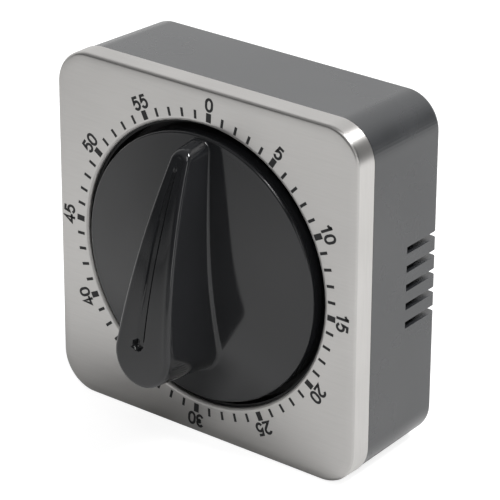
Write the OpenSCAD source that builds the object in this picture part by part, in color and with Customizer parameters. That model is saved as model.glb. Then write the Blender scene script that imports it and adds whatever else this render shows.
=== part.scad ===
// Mechanical kitchen timer: square metal-faced case, twist dial with a wedge grip, wind-up movement, bell.
// Millimetres. X right, Y from the face to the back, Z up. Origin at the middle of the base.

/* [Case] */
// Width and height of the square case
body_w = 72; // [68:1:76]
// Depth from the face to the back wall
case_depth = 26.16; // [25.6:0.1:27.5]
// Corner radius of the metal face
face_corner_r = 7.62; // [6.6:0.1:8.6]
// Radius of the fold between face and rim
fold_r = 1.18; // [0.9:0.05:1.4]
// Sheet thickness of the face
sheet_t = 0.5; // [0.4:0.05:0.6]
// Depth of the metal rim
rim_depth = 4.775; // [4.4:0.1:5.4]
// Diameter of the hole in the face
hole_d = 57.5; // [57:0.25:58.5]
// Radius of the rolled lip round the hole
lip_r = 0.5; // [0.4:0.05:0.6]
// Inset of the plastic shell behind the rim
shell_inset = 0.15; // [0.1:0.05:0.25]
// Draft of the shell at the back, each side
shell_draft = 0.62; // [0.4:0.02:0.9]
// Corner radius of the shell at its back
shell_back_corner_r = 7; // [6.4:0.1:7.4]
// Edge radius round the back
back_edge_r = 0.85; // [0.6:0.05:1]
// Open joint between the metal rim and the shell
rim_joint = 0.2; // [0.15:0.05:0.3]
// Wall of the shell
shell_wall = 1.8; // [1.6:0.1:2]
// Back wall of the shell
back_wall = 2; // [1.8:0.1:2.2]

/* [Sound slots] */
// Height of one slot
slot_h = 1.4; // [1.1:0.1:1.7]
// Spacing of the slots
slot_pitch = 3.83; // [3.5:0.05:4.2]
// Where the slots start behind the face
slot_start = 16.2; // [15.6:0.1:17.5]
// How far the slots run onto the back
slot_back_run = 5.2; // [4.6:0.1:5.6]

/* [Dial] */
// Diameter of the dial
dial_d = 54.1; // [53.5:0.1:54.6]
// Crown height of the dial in front of the face
dial_crown_h = 4.25; // [3.6:0.05:4.6]
// Height of the dial edge in front of the face
dial_edge_h = 1.15; // [0.8:0.05:1.4]
// Rounding of the dial edge
dial_edge_r = 0.5; // [0.4:0.05:0.7]
// Wall of the dial
dial_wall = 1.5; // [1.3:0.1:1.7]
// Depth of the dial skirt behind the face
dial_skirt = 4.2; // [3.8:0.1:4.4]

/* [Grip] */
// Height of the curved front over the face at its highest
grip_h = 18.1; // [17.4:0.1:18.8]
// Radius of the curved front of the grip
grip_arc_r = 118; // [100:1:130]
// Distance of the curve's highest point below the dial centre
grip_apex_drop = 25; // [22:0.5:27]
// Radius of the broad end at the front
grip_end_r = 6.5; // [6:0.05:6.7]
// Distance of the broad end below the dial centre
grip_end_drop = 12.35; // [11.8:0.05:12.8]
// Radius of the pointer end at the front
grip_tip_r = 2.25; // [2.1:0.05:2.4]
// Distance of the pointer end above the dial centre
grip_tip_rise = 23.7; // [23:0.1:23.8]
// Extra radius of the broad end at the base
grip_end_flare = 0.3; // [0.2:0.05:0.5]
// Extra radius of the pointer end at the base
grip_tip_flare = 0.3; // [0.2:0.05:0.4]
// Lean of the broad end between front and base
grip_end_lean = 1.2; // [0.8:0.1:1.4]
// Lean of the pointer end between front and base
grip_tip_lean = 0.4; // [0.2:0.05:0.5]
// Turn of the grip on the dial, clockwise
grip_turn = 1.7; // [0:0.1:2.5]
// Sideways place of the grip on the dial
grip_shift = -0.3; // [-0.4:0.05:0.4]
// Width of the raised bead round the grip's front
bead_w = 0.8; // [0.7:0.05:1]
// Depth of the hollow inside the bead
bead_dip = 0.28; // [0.2:0.02:0.36]
// Reach of the fillet where the grip meets the dial
grip_fillet = 0.9; // [0.7:0.05:1]
// Wall of the hollow grip
grip_wall = 1.5; // [1.4:0.05:1.6]
// Width of the pointer groove
groove_w = 1.7; // [1.5:0.1:1.8]
// Depth of the pointer groove
groove_depth = 0.5; // [0.4:0.05:0.6]
// Lower end of the pointer groove below the dial centre
groove_drop = 9.94; // [9:0.1:10.5]
// Upper end of the pointer groove above the dial centre
groove_rise = 23; // [22:0.1:23.2]
// Diameter of the round pit at the groove's lower end
pit_d = 2.1; // [1.9:0.1:2.4]

/* [Movement] */
// Diameter of the main arbor
arbor_d = 5; // [4.8:0.1:5.2]
// Free space between the movement plates
plate_gap = 7.8; // [7.7:0.05:8]
// Thickness of the movement plates
plate_t = 0.8; // [0.7:0.05:0.9]
// Width of the movement plates
plate_w = 47; // [46:0.5:48]
// Height of the movement plates
plate_h = 43; // [42:0.5:44]
// Distance between the left and right pillars
pillar_dx = 39; // [38.6:0.1:39.4]
// Distance between the lower and upper pillars
pillar_dz = 36; // [35.6:0.1:36.4]
// Diameter of a pillar
pillar_d = 3; // [2.8:0.1:3.2]
// Thickness of the wheels
wheel_t = 0.7; // [0.6:0.05:0.8]
// Tooth size of the main wheel
main_module = 0.55; // [0.54:0.005:0.56]
// Tooth size of the second wheel
second_module = 0.4; // [0.395:0.005:0.405]
// Tooth size of the third wheel
third_module = 0.35; // [0.345:0.005:0.355]
// Diameter of the escape wheel
escape_d = 12; // [11.6:0.1:12.2]
// Width of the mainspring
spring_w = 2.5; // [2.3:0.1:2.6]
// Outer diameter of the coiled mainspring
spring_d = 23; // [21.5:0.5:23.5]

/* [Bell] */
// Diameter of the bell
bell_d = 46; // [45:0.5:47]
// Wall of the bell
bell_wall = 0.8; // [0.7:0.05:0.9]

/* [Fits] */
// Running clearance of a pivot on the radius
pivot_gap = 0.05; // [0.03:0.01:0.08]
// Clearance between parts that sit against each other
seat_gap = 0.05; // [0.03:0.01:0.08]
// Clearance between parts that move past each other
run_gap = 0.3; // [0.25:0.05:0.4]
// Shaft side clearance of the dial bore on the radius
dial_fit = 0.03; // [0.01:0.01:0.05]

/* [Hidden] */
// teeth of the train; the wheel centres mesh only with these counts
main_teeth = 48;
second_teeth = 48;
third_teeth = 50;
pinion_leaves = 10;

face_half = body_w / 2;
grip_front_end = max(-grip_apex_drop, bead_w / 2 - grip_end_drop - grip_end_r);
part_back_shift = (front_h(grip_front_end) - case_depth) / 2;
hole_r = hole_d / 2;
sheet_in_half = face_half - sheet_t;
flange_half = sheet_in_half - shell_inset;
corner_c = face_half - face_corner_r;
shell_half = face_half - shell_inset;
shell_back_half = shell_half - shell_draft;
shell_corner_r = shell_half - corner_c;
case_in = case_depth - back_wall;
flange_front = sheet_t + seat_gap;
flange_t = 3 * sheet_t;
flange_front_half = face_half - fold_r;
flange_back = flange_front + flange_t;
well_r = hole_r - lip_r;
well_wall = shell_wall * 0.75;
well_floor = dial_skirt + 2 * run_gap + seat_gap * 4;
floor_back = well_floor + well_wall;
dial_r = dial_d / 2;
dial_flat_r = dial_r - dial_edge_r;
// power of the dome's curve
dial_curve = 1.5;
plate_front = floor_back + run_gap * 2;
gap_front = plate_front + plate_t;
gap_back = gap_front + plate_gap;
plate_back = gap_back + plate_t;
arbor_r = arbor_d / 2;
arbor_step = arbor_r * 0.2;
pivot_r = arbor_r * 0.24;
stem_r = arbor_r * 0.32;

// layers between the plates, front to back
spring_front = gap_front + run_gap;
main_front = spring_front + spring_w + run_gap;
main_back = main_front + wheel_t;
ratchet_front = main_back + seat_gap;
ratchet_back = ratchet_front + wheel_t;
second_front = ratchet_back + run_gap;
second_back = second_front + wheel_t;
third_front = second_back + run_gap;
third_back = third_front + wheel_t;
cam_front = second_back + run_gap;
cam_back = cam_front + wheel_t;

// wheel centres
main_r = main_module * main_teeth / 2;
second_r = second_module * second_teeth / 2;
third_r = third_module * third_teeth / 2;
second_dist = main_module * (main_teeth + pinion_leaves) / 2;
third_dist = second_module * (second_teeth + pinion_leaves) / 2;
escape_dist = third_module * (third_teeth + pinion_leaves) / 2;
third_from_centre = main_r + arbor_r * 0.75;
escape_from_centre = main_r + arbor_r * 0.75;
function corner_angle(a, b, c) = acos((a * a + b * b - c * c) / (2 * a * b));
second_at = -150;
third_at = second_at - corner_angle(second_dist, third_from_centre, third_dist);
escape_at = third_at - corner_angle(third_from_centre, escape_from_centre, escape_dist);
second_pos = second_dist * [cos(second_at), sin(second_at)];
third_pos = third_from_centre * [cos(third_at), sin(third_at)];
escape_pos = escape_from_centre * [cos(escape_at), sin(escape_at)];
escape_r = escape_d / 2;
anchor_reach = escape_r * 1.32;
anchor_at = escape_at - corner_angle(escape_from_centre, escape_from_centre, anchor_reach);
anchor_pos = escape_from_centre * [cos(anchor_at), sin(anchor_at)];

// hammer
hammer_from_centre = arbor_r * 6.8;
hammer_at = 13.6;
hammer_pos = hammer_from_centre * [cos(hammer_at), sin(hammer_at)];
cam_r = arbor_r * 2;
cam_lobe_r = cam_r * 1.16;
tail_reach_r = cam_lobe_r + seat_gap;
tail_at = hammer_at - acos(tail_reach_r / hammer_from_centre);
tail_pos = tail_reach_r * [cos(tail_at), sin(tail_at)];
bell_r = bell_d / 2;
arm_front = plate_back + run_gap;
arm_back = arm_front + wheel_t;
bell_back = case_in - run_gap * 3;
bell_front = arm_back + run_gap * 2;
bell_h = bell_back - bell_front;
head_r = arbor_r * 0.6;
head_at = 50;
head_from_centre = bell_r - bell_wall - head_r - run_gap;
head_pos = head_from_centre * [cos(head_at), sin(head_at)];
spring_arm = arbor_r * 1.6;
lug_z = hammer_pos[1] - arbor_r * 5;

// screws and posts
screw_r = arbor_r * 0.48;
screw_head_r = screw_r * 1.9;
case_thread_r = screw_r * 0.9;
mount_thread_r = screw_r * 0.75;
mount_head_r = screw_r * 1.3;
pillar_thread_r = screw_r * 0.6;
pillar_head_r = screw_r * 1.5;
pillar_end_r = screw_r * 0.8;
bell_thread_r = screw_r * 0.85;
screw_c = corner_c - screw_r * 0.25;
boss_r = screw_head_r * 1.45;
boss_split = flange_back + rim_depth * 2;
boss_floor = case_depth - back_wall * 1.5;
mount_c = [pillar_dx / 2 - pillar_d * 1.4, pillar_dz / 2];
magnet_r = arbor_r * 2.4;
magnet_t = back_wall * 0.75;
magnet_drop = face_half * 0.62;
magnet_x = face_half * 0.42;

// shares of the piece that carries them
flat_share = 0.62;
slot_w_share = 0.4;
slot_l_share = 1.24;
root_share = 1.2;
wheel_tip_share = 0.85;
pinion_tip_share = 0.75;
main_rim_share = 0.84;
main_hub_share = 0.68;
wheel_rim_share = 0.8;
wheel_hub_share = 0.3;
escape_rim_share = 0.62;
window_place_shares = [-0.12, -0.32];
window_size_shares = [0.3, 0.14];
bell_curve_share = 0.8;
head_depth_share = 0.45;
coil_end_share = 0.12;
wire_end_share = 0.13;
// distance from the centre, place within one tooth
ratchet_shares = [[0.82, 0], [1, 0.9]];
escape_shares = [[0.74, 0], [1, 0.46], [1, 0.54], [0.76, 0.6]];

// placing helpers: shapes are drawn flat as X and Z and stand along Y
module placed() translate([0, part_back_shift, face_half]) children();
module slab(front, back) {
    translate([0, back, 0]) rotate([90, 0, 0]) linear_extrude(back - front) children();
}
module rod(r, front, back, pos = [0, 0], sides = 48) {
    translate([pos[0], back, pos[1]]) rotate([90, 0, 0]) cylinder(r = r, h = back - front, $fn = sides);
}
module turned() {
    rotate([-90, 0, 0]) rotate_extrude($fn = 96) children();
}
module round_square(half, r) {
    square([2 * half, 2 * (half - r)], center = true);
    square([2 * (half - r), 2 * half], center = true);
    for (x = [-1, 1], z = [-1, 1])
        translate([x, z] * (half - r)) circle(r = r, $fn = 64);
}
module round_rect(w, h, r) {
    square([w, h - 2 * r], center = true);
    square([w - 2 * r, h], center = true);
    for (x = [-1, 1], z = [-1, 1])
        translate([x * (w / 2 - r), z * (h / 2 - r)]) circle(r = r, $fn = 32);
}
function arc(cx, cy, r, a0, a1, n) = [for (i = [0:n]) let (a = a0 + (a1 - a0) * i / n)
    [cx + r * cos(a), cy + r * sin(a)]];

// metal face: folded sheet with a rolled lip round the dial hole
fold_profile = concat(
    [[-sheet_t, 0]], arc(0, fold_r, fold_r, -90, 0, 8), [[fold_r, rim_depth]],
    [[fold_r - sheet_t, rim_depth]], arc(0, fold_r, fold_r - sheet_t, 0, -90, 8), [[-sheet_t, sheet_t]]);
module fold_section() {
    translate([face_half - fold_r, 0]) polygon(fold_profile);
}
module front_plate() {
    color("silver") {
        difference() {
            slab(0, sheet_t) round_square(face_half - fold_r, face_corner_r - fold_r);
            rod(hole_r + lip_r * 1.5, -sheet_t, 2 * sheet_t, sides = 96);
        }
        turned() polygon(concat(
            [[hole_r + lip_r * 2, 0]],
            [[hole_r + lip_r * 2, sheet_t], [hole_r + lip_r, sheet_t + lip_r / 2]],
            [[hole_r + lip_r / 5, sheet_t + lip_r]],
            [[hole_r, sheet_t + lip_r]], arc(hole_r + lip_r, lip_r, lip_r, 180, 270, 8)));
        for (a = [0:90:270]) rotate([0, a, 0]) {
            translate([0, 0, -corner_c]) linear_extrude(2 * corner_c) fold_section();
            translate([corner_c, 0, corner_c]) rotate([-90, 0, 0])
                rotate_extrude(angle = -90, $fn = 64)
                    translate([-corner_c, 0]) fold_section();
        }
    }
}

// plastic shell with sound slots left and right
module shell_level(y, inset, t) {
    share = (y - rim_depth) / (case_depth - rim_depth);
    half = shell_half - share * shell_draft - inset;
    r = shell_corner_r + share * (shell_back_corner_r - shell_corner_r) - inset;
    slab(y, y + t) for (x = [-1, 1], z = [-1, 1])
        translate([x, z] * (half - r)) circle(r = r, $fn = 72);
}
module shell_outside() {
    skin = seat_gap / 10;
    hull() {
        shell_level(rim_depth + rim_joint, 0, skin);
        for (a = [0:22.5:90])
            shell_level(case_depth - back_edge_r + back_edge_r * sin(a) - skin,
                back_edge_r * (1 - cos(a)), skin);
    }
}
module sound_slots() {
    for (side = [-1, 1], i = [-2:2]) translate([0, 0, i * slot_pitch]) {
        x_in = shell_back_half - slot_back_run;
        translate([side > 0 ? x_in : -face_half - seat_gap, slot_start, -slot_h / 2])
            cube([face_half + seat_gap - x_in, case_depth, slot_h]);
    }
}
module rear_housing() {
    color("dimgray") difference() {
        union() {
            difference() {
                union() {
                    shell_outside();
                    slab(flange_back + seat_gap, rim_depth + 2 * rim_joint)
                        round_square(flange_half, flange_half - corner_c);
                }
                slab(-sheet_t, case_in)
                    round_square(flange_half - shell_wall, flange_half - corner_c - shell_wall);
            }
            for (x = [-1, 1], z = [-1, 1])
                rod(boss_r, boss_split + seat_gap, case_depth - back_wall / 2, [x, z] * screw_c);
            rod(boss_r, bell_back + seat_gap + run_gap, case_depth - back_wall / 2);
        }
        difference() {
            sound_slots();
            slab(0, case_in) square(2 * (shell_back_half - slot_back_run - shell_wall), center = true);
        }
        for (x = [-1, 1], z = [-1, 1]) {
            rod(screw_r + pivot_gap, boss_split - sheet_t, case_depth, [x, z] * screw_c);
            rod(screw_head_r + pivot_gap, boss_floor, case_depth + sheet_t, [x, z] * screw_c);
        }
        rod(case_thread_r, bell_back - sheet_t, case_depth - back_wall / 2);
        for (x = [-1, 1])
            rod(magnet_r + pivot_gap, case_depth - magnet_t, case_depth + sheet_t,
                [x * magnet_x, -magnet_drop]);
    }
}

// black carrier with the round well behind the dial
module dial_well() {
    color("#1c1c1e") difference() {
        union() {
            slab(flange_front, flange_back) round_square(flange_front_half, flange_front_half - corner_c);
            slab(fold_r, flange_back) round_square(flange_half, flange_half - corner_c);
            rod(well_r + well_wall, flange_front, floor_back, sides = 96);
            for (x = [-1, 1], z = [-1, 1])
                rod(boss_r, flange_front, boss_split, [x, z] * screw_c);
            for (x = [-1, 1], z = [-1, 1])
                rod(pillar_d, well_floor, plate_front - seat_gap, [x * mount_c[0], z * mount_c[1]]);
            rod(arbor_r + well_wall, well_floor - run_gap, floor_back);
        }
        rod(hole_r + 2 * lip_r + seat_gap, -sheet_t, sheet_t + lip_r + seat_gap, sides = 96);
        difference() {
            rod(well_r, -sheet_t, well_floor, sides = 96);
            rod(arbor_r + well_wall, well_floor - run_gap, floor_back);
        }
        rod(arbor_r + pivot_gap, 0, case_depth);
        for (x = [-1, 1], z = [-1, 1]) {
            rod(case_thread_r, flange_back, case_depth, [x, z] * screw_c);
            rod(mount_thread_r, well_floor + well_wall / 2, case_depth,
                [x * mount_c[0], z * mount_c[1]]);
        }
    }
}

// dial: domed disc with a wedge grip that grows out of it through a fillet
function dome_h(r) =
    dial_crown_h - (dial_crown_h - dial_edge_h) * pow(min(r, dial_r) / dial_r, dial_curve);
function front_h(z) = grip_h - grip_arc_r + sqrt(grip_arc_r * grip_arc_r - pow(z + grip_apex_drop, 2));
function grip_side(rb, zb, rt, zt, n) = let (b = asin((rb - rt) / (zt - zb))) concat(
    arc(0, zt, rt, 90, b, n),
    [for (i = [1:n - 1]) let (s = i / n)
        [(rt + s * (rb - rt)) * cos(b), zt + rt * sin(b) + s * (zb - zt + (rb - rt) * sin(b))]],
    arc(0, zb, rb, b, -90, n));
function on_dial(q) = let (
        p = [q[0] * cos(grip_turn) + q[1] * sin(grip_turn) + grip_shift,
            q[1] * cos(grip_turn) - q[0] * sin(grip_turn)])
    p * min(1, (dial_r - dial_edge_r * 1.2) / norm(p));
function grip_ring(share, grow, n) = let (side = grip_side(
        grip_end_r + grip_end_flare * (1 - share) + grow, -grip_end_drop - grip_end_lean * (1 - share),
        grip_tip_r + grip_tip_flare * (1 - share) + grow, grip_tip_rise + grip_tip_lean * (1 - share), n))
    concat(side, [for (i = [len(side) - 2:-1:1]) [-side[i][0], side[i][1]]]);
// fillet at the base, bead at the front and the hollow inside it: shares of width and height
fillet_shares = [[1, -0.6], [1, 0], [0.55, 0.1], [0.2, 0.35], [0, 1]];
bead_shares = [[0, -0.64], [-0.08, -0.32], [-0.24, -0.1], [-0.5, 0]];
dip_shares = [[-0.8, -0.5], [-1.1, -1]];
// each level: share of the way to the front, growth of the outline, lift from the level
grip_levels = concat(
    [for (s = fillet_shares) [0, grip_fillet * s[0], grip_fillet * s[1]]],
    [for (s = bead_shares) [1, bead_w * s[0], bead_w * s[1]]],
    [for (s = dip_shares) [1, bead_w * s[0], bead_dip * s[1]]]);
hollow_levels = [
    [0, -grip_wall, -dial_wall * 2], [1, -grip_wall, -grip_wall * 1.3]];
function level_point(q, level) = let (p = on_dial(q), base = dome_h(norm(p)), top = front_h(q[1]))
    [p[0], -(base + (top - base) * level[0] + level[2]), p[1]];
module grip_body(levels, n) {
    rings = [for (l = levels) [for (p = grip_ring(l[0], l[1], n)) level_point(p, l)]];
    m = len(rings[0]);
    k = len(levels);
    half = m / 2;
    polyhedron(
        points = [for (r = rings) each r],
        faces = concat(
            [for (j = [0:k - 2], i = [0:m - 1]) let (a = j * m + i, b = j * m + (i + 1) % m)
                each [[a, b, b + m], [a, b + m, a + m]]],
            [for (i = [1:half - 1]) let (a = (k - 1) * m)
                each [[a + i, a + (m - i), a + i - 1], [a + m - i, a + (m - i + 1) % m, a + i - 1]]],
            [[(k - 1) * m + half - 1, (k - 1) * m + half, (k - 1) * m + half + 1]],
            [for (i = [1:half - 1])
                each [[i - 1, m - i, i], [i - 1, (m - i + 1) % m, m - i]]],
            [[half + 1, half, half - 1]]),
        convexity = 6);
}
dome_profile = [for (i = [0:24]) let (r = dial_flat_r * i / 24) [r, -dome_h(r)]];
dome_under = [for (i = [24:-1:0]) let (r = (dial_r - dial_wall) * i / 24) [r, dial_wall - dome_h(r)]];
module dial_disc() {
    edge_y = -dome_h(dial_flat_r) + dial_edge_r;
    turned() polygon(concat(
        dome_profile, arc(dial_flat_r, edge_y, dial_edge_r, -75, 0, 5),
        [[dial_r, dial_skirt], [dial_r - dial_wall, dial_skirt]], dome_under));
}
module pointer_groove() {
    groove_r = groove_w / 2;
    lift = groove_r - groove_depth - bead_dip;
    low = asin((grip_apex_drop - groove_drop) / grip_arc_r);
    high = asin((grip_apex_drop + groove_rise) / grip_arc_r);
    translate([grip_shift, 0, 0]) rotate([0, grip_turn, 0])
        translate([0, grip_arc_r - grip_h, -grip_apex_drop]) rotate([0, -90, 0]) {
        rotate([0, 0, -90 + low]) rotate_extrude(angle = high - low, $fn = 240)
            translate([grip_arc_r + lift, 0]) circle(r = groove_r, $fn = 24);
        rotate([0, 0, -90 + low]) translate([grip_arc_r - groove_depth * 2, 0, 0]) rotate([0, 90, 0])
            cylinder(r = pit_d / 2, h = groove_depth * 4, $fn = 32);
    }
}
module d_section(r, front, back) {
    difference() {
        rod(r, front, back);
        translate([r * flat_share, front - sheet_t, -2 * r]) cube([2 * r, back - front + 2 * sheet_t, 4 * r]);
    }
}
shaft_front = -grip_h * 0.55;
module dial_knob() {
    color("#232426") difference() {
        union() {
            difference() {
                union() {
                    dial_disc();
                    grip_body(grip_levels, 12);
                }
                grip_body(hollow_levels, 8);
            }
            rod(arbor_r + grip_wall, -front_h(0) + grip_wall, well_floor - run_gap * 2);
        }
        d_section(arbor_r + dial_fit, shaft_front - run_gap, case_depth);
        pointer_groove();
    }
}
module main_arbor() {
    color("lightgray") union() {
        d_section(arbor_r, shaft_front, well_floor - run_gap);
        rod(arbor_r, well_floor - run_gap, spring_front + spring_w);
        rod(arbor_r - arbor_step, spring_front, gap_back - run_gap / 2);
        rod(arbor_r - 2 * arbor_step, gap_back - run_gap, plate_back + run_gap);
        translate([arbor_r - arbor_step, spring_front + spring_w * 0.3, -arbor_step / 2])
            cube([spring_in_r - pivot_gap - arbor_r + arbor_step, spring_w * 0.4, arbor_step]);
    }
}

// movement plates and pillars
module plate_outline() round_rect(plate_w, plate_h, pillar_d);
module pillar_places() {
    for (x = [-1, 1], z = [-1, 1]) translate([x * pillar_dx / 2, 0, z * pillar_dz / 2]) children();
}
module pivot_hole(pos, r = pivot_r) rod(r + pivot_gap, 0, case_depth, pos, 24);
module movement_front_plate() {
    color("#b9bcbf") difference() {
        slab(plate_front, plate_front + plate_t) plate_outline();
        rod(arbor_r + pivot_gap, 0, case_depth);
        for (p = [second_pos, third_pos, escape_pos, anchor_pos, hammer_pos]) pivot_hole(p);
        pillar_places() rod(pillar_end_r + pivot_gap, 0, case_depth);
        for (x = [-1, 1], z = [-1, 1]) pivot_hole([x * mount_c[0], z * mount_c[1]], screw_r);
    }
}
module movement_rear_plate() {
    color("#b9bcbf") {
        difference() {
            slab(gap_back, plate_back) plate_outline();
            rod(arbor_r - 2 * arbor_step + pivot_gap, 0, case_depth);
            for (p = [second_pos, third_pos, escape_pos, anchor_pos]) pivot_hole(p);
            pivot_hole(hammer_pos, stem_r);
            pillar_places() rod(pillar_end_r + pivot_gap, 0, case_depth);
            slab(0, case_depth)
                translate([plate_w * window_place_shares[0], plate_h * window_place_shares[1]])
                    round_rect(plate_w * window_size_shares[0], plate_h * window_size_shares[1], screw_r);
        }
        translate([hammer_pos[0] + spring_arm - stem_r, gap_back - 2 * wheel_t - run_gap,
                lug_z - 2 * stem_r])
            cube([2 * stem_r, 2 * wheel_t + 2 * run_gap, plate_t]);
    }
}
module plate_pillars() {
    color("#c9a75a") pillar_places() difference() {
        union() {
            rod(pillar_d / 2, gap_front + seat_gap / 5, gap_back - seat_gap / 5);
            rod(pillar_end_r, plate_front - run_gap, gap_front + run_gap);
        }
        rod(pillar_thread_r, gap_back - plate_gap / 2, gap_back);
    }
}
module screw(r, head_r, head_t, front, back, pos) {
    difference() {
        union() {
            rod(r, front, back + head_t / 2, pos, 32);
            rod(head_r, back, back + head_t, pos, 32);
        }
        for (turn = [0, 90])
            translate([pos[0], back + head_t / 2, pos[1]]) rotate([0, turn, 0])
                translate([-r * slot_w_share / 2, 0, -head_r * slot_l_share / 2])
                    cube([r * slot_w_share, head_t, head_r * slot_l_share]);
    }
}
module pillar_screws() {
    color("silver") for (x = [-1, 1], z = [-1, 1])
        screw(pillar_thread_r - pivot_gap, pillar_head_r, plate_t, gap_back - plate_gap / 3,
            plate_back + seat_gap / 5, [x * pillar_dx / 2, z * pillar_dz / 2]);
}
module movement_screws() {
    color("silver") for (x = [-1, 1], z = [-1, 1])
        screw(mount_thread_r - pivot_gap / 5, mount_head_r, plate_t, well_floor + well_wall * 0.6,
            gap_front + seat_gap / 5, [x * mount_c[0], z * mount_c[1]]);
}
module case_screws() {
    color("silver") for (x = [-1, 1], z = [-1, 1])
        screw(case_thread_r - pivot_gap / 5, screw_head_r, back_wall * 0.7, boss_split - plate_gap,
            boss_floor + seat_gap / 5, [x, z] * screw_c);
}

// power: coiled spring hooked to a pillar, wheel with ratchet
spring_turns = 7;
spring_strip = arbor_step * 0.5;
spring_in_r = arbor_r + arbor_step * 0.4;
spring_out_r = spring_d / 2;
function coil_r(a) = spring_in_r + (spring_out_r - spring_in_r) * a / (360 * spring_turns);
module mainspring() {
    end_a = 360 * spring_turns;
    hook = [pillar_dx / 2, -pillar_dz / 2];
    hook_r = pillar_d / 2 + pivot_gap;
    off = atan2(hook[1], hook[0]);
    span = [for (a = [0:15:end_a]) a];
    reach = norm(hook);
    color("#5c6670") slab(spring_front, spring_front + spring_w) rotate(off) polygon(concat(
        [for (a = span) coil_r(a) * [cos(a), sin(a)]],
        [[spring_out_r, spring_strip]],
        arc(reach, 0, hook_r + spring_strip, 172, -120, 20), arc(reach, 0, hook_r, -120, 180, 20),
        [for (i = [len(span) - 1:-1:0]) (coil_r(span[i]) + spring_strip) * [cos(span[i]), sin(span[i])]]));
}
function tooth(a, pitch, radii, widths) = [
    for (q = [[0, -1], [1, -1], [2, -1], [2, 1], [1, 1], [0, 1]])
        radii[q[0]] * [cos(a + q[1] * widths[q[0]] * pitch), sin(a + q[1] * widths[q[0]] * pitch)]];
// shares of one tooth spacing, half widths at root, pitch line and tip
wheel_shares = [0.25, 0.2, 0.09];
pinion_shares = [0.24, 0.2, 0.1];
module wheel_outline(teeth, module_size, phase) {
    pitch = 360 / teeth;
    r = teeth * module_size / 2;
    radii = [r - module_size * root_share, r, r + module_size * wheel_tip_share];
    polygon([for (i = [0:teeth - 1]) each tooth(phase + i * pitch, pitch, radii, wheel_shares)]);
}
module pinion_outline(teeth, module_size, phase) {
    pitch = 360 / teeth;
    r = teeth * module_size / 2;
    radii = [r - module_size * root_share, r, r + module_size * pinion_tip_share];
    polygon([for (i = [0:teeth - 1]) each tooth(phase + i * pitch, pitch, radii, pinion_shares)]);
}
function mesh_phase(line, phase, teeth, leaves) =
    line + 180 - (0.5 - (line - phase) * teeth / 360) * 360 / leaves;
module spokes_cut(r_out, r_in, count, width) {
    difference() {
        circle(r = r_out, $fn = 64);
        circle(r = r_in, $fn = 48);
        for (i = [0:count - 1]) rotate(i * 360 / count) translate([0, -width / 2]) square([2 * r_out, width]);
    }
}
module main_wheel() {
    color("#c9a75a") difference() {
        slab(main_front, main_back) wheel_outline(main_teeth, main_module, 0);
        rod(arbor_r - arbor_step + pivot_gap, 0, case_depth);
        slab(0, case_depth) spokes_cut(main_r * main_rim_share, main_r * main_hub_share, 4, arbor_r);
        slab(0, case_depth) rotate(leaf_at) translate([leaf_r, 0]) circle(r = pivot_r, $fn = 24);
    }
}
ratchet_teeth = 12;
ratchet_r = arbor_r * 1.7;
module ratchet_wheel() {
    step = 360 / ratchet_teeth;
    color("lightgray") difference() {
        slab(ratchet_front, ratchet_back) polygon([for (i = [0:ratchet_teeth - 1], q = ratchet_shares)
            ratchet_r * q[0] * [cos((i + q[1]) * step), sin((i + q[1]) * step)]]);
        rod(arbor_r - arbor_step + seat_gap / 5, 0, case_depth);
    }
}
leaf_at = 62;
leaf_r = main_r * 0.6;
module click_leaf() {
    leaf_t = wheel_t * 0.5;
    nose = ratchet_r + seat_gap;
    leaf_pos = leaf_r * [cos(leaf_at), sin(leaf_at)];
    // distance from the arbor, angle back from the rivet
    leaf_points = [[leaf_r + pivot_r, 0], [nose + pivot_r, 58], [nose, 60],
        [nose + pivot_r * 0.4, 45], [leaf_r - pivot_r, 0]];
    color("#8a9096") union() {
        rod(pivot_r * 2, ratchet_front, ratchet_back, leaf_pos, 24);
        rod(pivot_r - pivot_gap / 2, main_front, ratchet_front + leaf_t, leaf_pos, 24);
        slab(ratchet_front, ratchet_front + leaf_t)
            polygon([for (q = leaf_points) q[0] * [cos(leaf_at - q[1]), sin(leaf_at - q[1])]]);
    }
}

// train
module arbor_rod(pos) {
    rod(stem_r, gap_front + run_gap / 3, gap_back - run_gap / 3, pos, 32);
    rod(pivot_r, plate_front + seat_gap, plate_back - seat_gap, pos, 24);
}
second_phase = mesh_phase(second_at, 0, main_teeth, pinion_leaves);
second_line = atan2(third_pos[1] - second_pos[1], third_pos[0] - second_pos[0]);
third_phase = mesh_phase(second_line, 0, second_teeth, pinion_leaves);
third_line = atan2(escape_pos[1] - third_pos[1], escape_pos[0] - third_pos[0]);
escape_phase = mesh_phase(third_line, 0, third_teeth, pinion_leaves);
module second_wheel() {
    color("#c9a75a") union() {
        arbor_rod(second_pos);
        translate([second_pos[0], 0, second_pos[1]]) {
            slab(main_front - run_gap, main_back + run_gap)
                pinion_outline(pinion_leaves, main_module, second_phase);
            slab(second_front, second_back) difference() {
                wheel_outline(second_teeth, second_module, 0);
                spokes_cut(second_r * wheel_rim_share, second_r * wheel_hub_share, 4, stem_r * 2);
            }
        }
    }
}
module third_wheel() {
    color("#c9a75a") union() {
        arbor_rod(third_pos);
        translate([third_pos[0], 0, third_pos[1]]) {
            slab(second_front - run_gap / 2, second_back + run_gap / 2)
                pinion_outline(pinion_leaves, second_module, third_phase);
            slab(third_front, third_back) difference() {
                wheel_outline(third_teeth, third_module, 0);
                spokes_cut(third_r * wheel_rim_share, third_r * wheel_hub_share, 4, stem_r * 2);
            }
        }
    }
}
escape_teeth = 15;
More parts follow.
